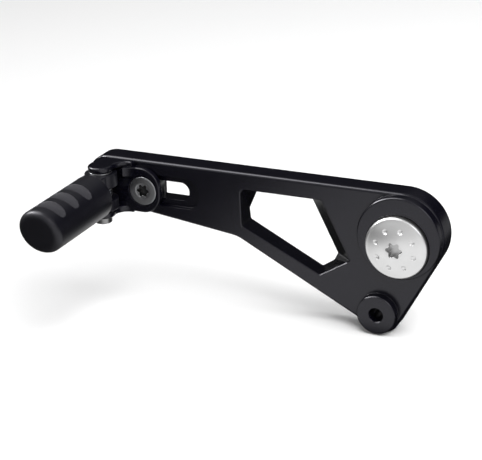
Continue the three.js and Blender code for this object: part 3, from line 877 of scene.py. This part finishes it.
def toe_peg():
    """The round peg with three grips across its top, and its tongue around the hinge pin."""
    profile = [(0, PEG_END)]
    for degrees in range(0, 91, 9):
        x, y = polar(1.0, math.radians(degrees))
        profile.append((PEG_RADIUS - END_ROUNDING * (1 - y), PEG_END + END_ROUNDING * (1 - x)))
    profile += [
        (PEG_RADIUS, PEG_END + 2 * END_ROUNDING), (PEG_RADIUS, PEG_ROOT - ROOT_BEVEL),
        (PEG_RADIUS - ROOT_BEVEL, PEG_ROOT), (0, PEG_ROOT),
    ]
    peg = turned("peg", profile, ROUND)
    for vertex in peg.data.vertices:
        if vertex.co.y < PEG_END + 1.5 * END_ROUNDING:
            vertex.co.y -= PEG_SLANT * vertex.co.z
    moved(peg, HINGE_X, 0, PEG_Z)

    neck = 4.6
    eye = 6.5
    fillet = 2.0
    fillet_y = HINGE_Y - math.sqrt((eye + fillet) ** 2 - (neck + fillet) ** 2)
    tongue = [
        (HINGE_X, HINGE_Y, eye),
        (HINGE_X - neck - fillet, fillet_y, -fillet),
        (HINGE_X - neck, PEG_ROOT - 2, 0),
        (HINGE_X + neck, PEG_ROOT - 2, 0),
        (HINGE_X + neck + fillet, fillet_y, -fillet),
    ]
    joined(peg, slab("tongue", tongue, 1.5, 16.5, edge=0.5, upright=True))
    cut(peg, at_hinge(bar("spring_room", 6.6, 5.8, 11.3)))
    cut(peg, at_hinge(bar("spring_leg_room", 8.0, 9.75, 11.25)))
    cut(peg, at_hinge(bar("bore", 3.43, 0, 20)))

    steps = 8
    trough = []
    for k in range(-steps, steps + 1):
        rise = GRIP_DEPTH * abs(k / steps) ** 3
        trough.append((GRIP_FLOOR_RADIUS + rise, GRIP_HALF_WIDTH * k / steps))
    outside = GRIP_FLOOR_RADIUS + 4
    trough += [(outside, GRIP_HALF_WIDTH), (outside, -GRIP_HALF_WIDTH)]
    axis_drop = GRIP_FLOOR_RADIUS - (PEG_RADIUS - GRIP_DEPTH)
    x = HINGE_X - axis_drop * math.sin(GRIP_LEAN)
    z = PEG_Z - axis_drop * math.cos(GRIP_LEAN)
    for centre in GRIP_CENTRES:
        cut(peg, moved(turned("grip", trough, 180, closed=True), x, centre, z))
    finished(peg, "peg", "toe_peg", PEG_BLACK)


def return_spring():
    """The torsion spring around the hinge pin, with one leg on the holder and one on the peg."""
    spring_low, spring_high = box_mm("return_spring")
    wire = 0.5
    radius = 3.7
    left = HINGE_X - radius
    front = HINGE_Y - radius
    bottom = spring_low[2] + wire
    top = spring_high[2] - wire
    turns = 3.25
    steps = int(turns * 32)
    path = [(left, spring_high[1] - 0.05, bottom), (left, HINGE_Y + 2.5, bottom)]
    for k in range(steps + 1):
        x, y = polar(radius, math.pi + 2 * math.pi * turns * k / steps)
        path.append((HINGE_X + x, HINGE_Y + y, bottom + (top - bottom) * k / steps))
    path += [(HINGE_X + 2.2, front, top), (HINGE_X + 5.15, front - 0.2, top)]
    points = []
    facets = 14
    for k, place in enumerate(path):
        before = Vector(path[max(k - 1, 0)])
        after = Vector(path[min(k + 1, len(path) - 1)])
        along = (after - before).normalized()
        side = along.cross(Vector((0, 0, 1))).normalized()
        lift = side.cross(along)
        for m in range(facets):
            u, v = polar(wire, 2 * math.pi * m / facets)
            points.append(Vector(place) + side * u + lift * v)
    spring = skin("spring", points, facets)
    finished(spring, "spring", "return_spring", SPRING_STEEL)


toe_holder()
clamp_screw()
hinge_pin()
toe_peg()
return_spring()

# ------------------------------------------------------------------ rings, bushes and the slot nut

RING_EDGE = 0.12


def ring_piece(node, inner, material, upright=False):
    """A washer or a plain bush that fills its CAD node's box, with a hole of radius inner."""
    low, high = box_mm(node)
    along = 2 if upright else 1
    start = low[along]
    end = high[along]
    outer = (high[0] - low[0]) / 2
    profile = [(inner, start), (outer, start), (outer, end), (inner, end)]
    ring = turned(node, profile, closed=True, soft=RING_EDGE)
    if upright:
        at_hinge(ring)
    finished(ring, node.replace("_", "-"), node, material)


def flanged_bush(node, outwards):
    """A pivot bush: a thin barrel in the arm's bore with a flange on its outer end.

    outwards is -1 on the outer side and 1 on the motorcycle's side.
    """
    low, high = box_mm(node)
    flange_end, barrel_end = (low[1], high[1]) if outwards < 0 else (high[1], low[1])
    flange_thickness = 0.8
    flange_root = flange_end - flange_thickness * outwards
    inner = 7.0
    barrel = BORE_RADIUS - 0.05
    profile = [
        (inner, flange_end), (high[0], flange_end), (high[0], flange_root),
        (barrel, flange_root), (barrel, barrel_end), (inner, barrel_end),
    ]
    bush = turned(node, profile, ROUND, closed=True, soft=RING_EDGE)
    finished(bush, node.replace("_", "-"), node, BRONZE)


def seal_ring(node):
    """A round rubber ring in the arm's recess."""
    low, high = box_mm(node)
    thick = (high[1] - low[1]) / 2
    middle = (high[1] + low[1]) / 2
    steps = 20
    profile = []
    for k in range(steps):
        x, y = polar(thick, 2 * math.pi * k / steps)
        profile.append((high[0] - thick + x, middle + y))
    ring = turned(node, profile, ROUND, closed=True)
    finished(ring, node.replace("_", "-"), node, RUBBER)


def pivot_sleeve():
    """The sleeve that the arm turns on, with its dust flange and the hub that meets the motorcycle."""
    low, high = box_mm("pivot_sleeve")
    inner = 5.1
    barrel = 6.9
    hub = 9.0
    flange = high[0]
    flange_start = 4.6
    flange_end = 5.4
    profile = [
        (inner, low[1]), (barrel, low[1]), (barrel, flange_start), (flange, flange_start),
        (flange, flange_end), (hub, flange_end), (hub, high[1]), (inner, high[1]),
    ]
    sleeve = turned("sleeve", profile, ROUND, closed=True, soft=0.25)
    finished(sleeve, "sleeve", "pivot_sleeve", ZINC)


def slot_nut():
    """The nut behind the arm: its neck fills the slot and its flange pulls on the inner channel."""
    low, high = box_mm("slot_nut")
    half = (high[0] - low[0]) / 2
    neck_radius = 3.65
    neck = [(half - neck_radius, 0, neck_radius), (neck_radius - half, 0, neck_radius)]
    corner = 0.6
    x = half - corner
    z = (high[2] - low[2]) / 2 - corner
    flange = [(x, -z, corner), (x, z, corner), (-x, z, corner), (-x, -z, corner)]
    flange_face = 3.05
    nut = slab("nut", neck, low[1], flange_face + 0.95, edge=0.2)
    joined(nut, slab("flange", flange, flange_face, high[1], edge=0.3))
    bore = 3.05
    bevel = 0.35
    mouth = bore + bevel
    cut(nut, turned("bore", [
        (0, -6), (mouth, -6), (mouth, low[1]), (bore, low[1] + bevel),
        (bore, high[1] - bevel), (mouth, high[1]), (mouth, 8), (0, 8),
    ]))
    finished(at_screw(nut), "nut", "slot_nut", ZINC)


def grip_washer():
    """The toothed washer between the holder and the arm's channel."""
    low, high = box_mm("grip_washer")
    outer = (high[0] - low[0]) / 2
    tooth_depth = 0.5
    corners = 40
    layers = []
    levels = [
        (RING_EDGE, low[1]), (0, low[1] + RING_EDGE), (0, high[1] - RING_EDGE), (RING_EDGE, high[1]),
    ]
    for inset, level in levels:
        teeth = []
        for k in range(corners):
            reach = outer - (k % 2) * tooth_depth - inset
            teeth.append(polar(reach, 2 * math.pi * k / corners))
        layers.append((teeth, level))
    ring = loft("teeth", layers)
    cut(ring, bar("bore", 3.4, -6, 0))
    finished(at_screw(ring), "teeth", "grip_washer", ZINC, sharp=20)


pivot_sleeve()
slot_nut()
grip_washer()
for node_name, outwards in (("outer_pivot_bush", -1), ("inner_pivot_bush", 1)):
    flanged_bush(node_name, outwards)
for node_name in ("outer_seal", "inner_seal"):
    seal_ring(node_name)
for node_name in ("outer_thrust_washer", "inner_thrust_washer"):
    ring_piece(node_name, inner=7.1, material=ZINC)
for node_name in ("lower_hinge_washer", "upper_hinge_washer"):
    ring_piece(node_name, inner=2.7, material=ZINC, upright=True)
for node_name in ("lower_hinge_bush", "upper_hinge_bush"):
    ring_piece(node_name, inner=2.62, material=BRONZE, upright=True)

# ------------------------------------------------------------------ floor, light and camera

FLOOR_Z = cad_box[0][2]
FLOOR_HALF = 6.0           # metres
FLOOR_GREY = (0.9, 0.9, 0.9, 1)
LEAST_GLOW = 0.02          # how brightly each part of the floor shows in reflections
RIGHT_PATCH_GLOW = 0.3
LEFT_PATCH_GLOW = 1.6

LEVER_MIDDLE = PIVOT + Vector((-60, 0, 0)) * MM

CAMERA_PLACE = PIVOT + Vector((183.05, -523.05, 229.3)) * MM
CAMERA_AZIMUTH = math.radians(24.92)
CAMERA_ELEVATION = math.radians(22.93)
CAMERA_TIP = math.radians(1.98)
LENS = 118.4    # millimetres, as is the sensor's width
SENSOR = 36


def floor():
    """A pale, dull floor.

    Reflections show it lit in front of the lever, less so towards the toe, and in two patches:
    behind the pivot to its right, and from the toe end backwards.
    """
    corners = [(-1, -1), (1, -1), (1, 1), (-1, 1)]
    points = [(x * FLOOR_HALF, y * FLOOR_HALF, FLOOR_Z) for x, y in corners]
    plane = mesh_object("floor", points, [(0, 1, 2, 3)])
    nodes = Nodes(bpy.data.materials.new("pale_floor"))
    parts = nodes.xyz(nodes.place())

    def ramp(axis, start, end, low=0.0):
        """low before start and 1 after end, in millimetres along an axis."""
        return nodes.ramp(parts[axis], start, end, low, smooth=True)

    front = nodes.times(ramp("Y", -6.0, -22.0), ramp("X", -140.0, -65.0, low=0.05))
    right_patch = nodes.times(ramp("Y", 40.0, 80.0), ramp("X", 40.0, 90.0), RIGHT_PATCH_GLOW)
    fading = ramp("X", -152.0, -122.0, low=0.3)
    nearness = ramp("Y", -20.0, 40.0, low=0.2)
    across = nodes.times(ramp("X", -94.0, -116.0), fading)
    along = nodes.times(ramp("Y", -40.0, -26.0), nearness, ramp("Y", 180.0, 110.0))
    left_patch = nodes.times(across, along, LEFT_PATCH_GLOW)
    patches = nodes.plus(right_patch, left_patch)
    glow = nodes.calc("MAXIMUM", nodes.plus(front, LEAST_GLOW), patches)

    nodes.set(Base_Color=FLOOR_GREY, Roughness=0.9, Specular_IOR_Level=0.0)
    shine = nodes.add("ShaderNodeEmission", Strength=glow)
    path = nodes.add("ShaderNodeLightPath")
    mix = nodes.add("ShaderNodeMixShader", Fac=path.outputs["Is Glossy Ray"])
    nodes.feed(mix.inputs[1], nodes.shader.outputs[0])
    nodes.feed(mix.inputs[2], shine.outputs[0])
    nodes.feed(nodes.tree.nodes["Material Output"].inputs["Surface"], mix.outputs[0])
    plane.data.materials.append(nodes.owner)


def softbox(name, offset, size, power, lights_floor=True, reflected=True):
    """A square light, at an offset in metres from the middle of the lever and turned towards it.

    A light that doesn't light the floor only shows in reflections.
    """
    light = bpy.data.lights.new(name, "AREA")
    light.shape = "SQUARE"
    light.size = size
    light.energy = power
    lamp = bpy.data.objects.new(name, light)
    lamp.location = LEVER_MIDDLE + Vector(offset)
    lamp.rotation_euler = (-Vector(offset)).to_track_quat("-Z", "Y").to_euler()
    lamp.visible_diffuse = lights_floor
    lamp.visible_glossy = reflected
    bpy.context.scene.collection.objects.link(lamp)


def world_light():
    """White for the camera and an even fill on the floor.

    Reflections show a dark room, with a soft light from the outer side and from above.
    """
    nodes = Nodes(bpy.data.worlds.new("studio"))
    bpy.context.scene.world = nodes.owner
    nodes.tree.nodes.clear()
    direction = nodes.xyz(nodes.add("ShaderNodeTexCoord").outputs["Generated"])
    front_wall = nodes.ramp(direction["Y"], 0.3, -0.3, 0.0, 0.75)
    ceiling = nodes.ramp(direction["Z"], 0.45, 0.65, 0.015, 0.45)
    room = nodes.calc("MAXIMUM", front_wall, ceiling)
    path = nodes.add("ShaderNodeLightPath").outputs
    fill = nodes.mix("FLOAT", path["Is Glossy Ray"], 0.6, room)
    seen = nodes.mix("FLOAT", path["Is Camera Ray"], fill, 1.05)
    back = nodes.add("ShaderNodeBackground", Strength=seen)
    nodes.add("ShaderNodeOutputWorld", Surface=back.outputs["Background"])


def camera():
    """The photograph's view: from the outer side, the right and above, slightly tipped."""
    level = math.cos(CAMERA_ELEVATION)
    tip = Matrix.Rotation(CAMERA_TIP, 3, "Y")
    back = tip @ Vector((
        math.sin(CAMERA_AZIMUTH) * level,
        -math.cos(CAMERA_AZIMUTH) * level,
        math.sin(CAMERA_ELEVATION),
    ))
    right = tip @ Vector((math.cos(CAMERA_AZIMUTH), math.sin(CAMERA_AZIMUTH), 0))
    up = back.cross(right)
    lens = bpy.data.cameras.new("camera")
    lens.lens = LENS
    lens.sensor_width = SENSOR
    lens.clip_start = 0.01
    eye = bpy.data.objects.new("camera", lens)
    turn = Matrix((right, up, back)).transposed()
    eye.matrix_world = Matrix.Translation(CAMERA_PLACE) @ turn.to_4x4()
    bpy.context.scene.collection.objects.link(eye)
    bpy.context.scene.camera = eye


floor()
world_light()
softbox("top_light", (-0.42, -0.14, 0.66), size=0.6, power=6.0, lights_floor=False)
softbox("overhead", (0.35, -0.14, 0.75), size=0.9, power=11.0, reflected=False)
softbox("left_light", (-0.66, -0.06, 0.50), size=0.24, power=5.5, lights_floor=False)
softbox("front_light", (0.50, -0.50, 0.50), size=0.5, power=1.1)
camera()
bpy.context.scene.view_settings.view_transform = "Standard"
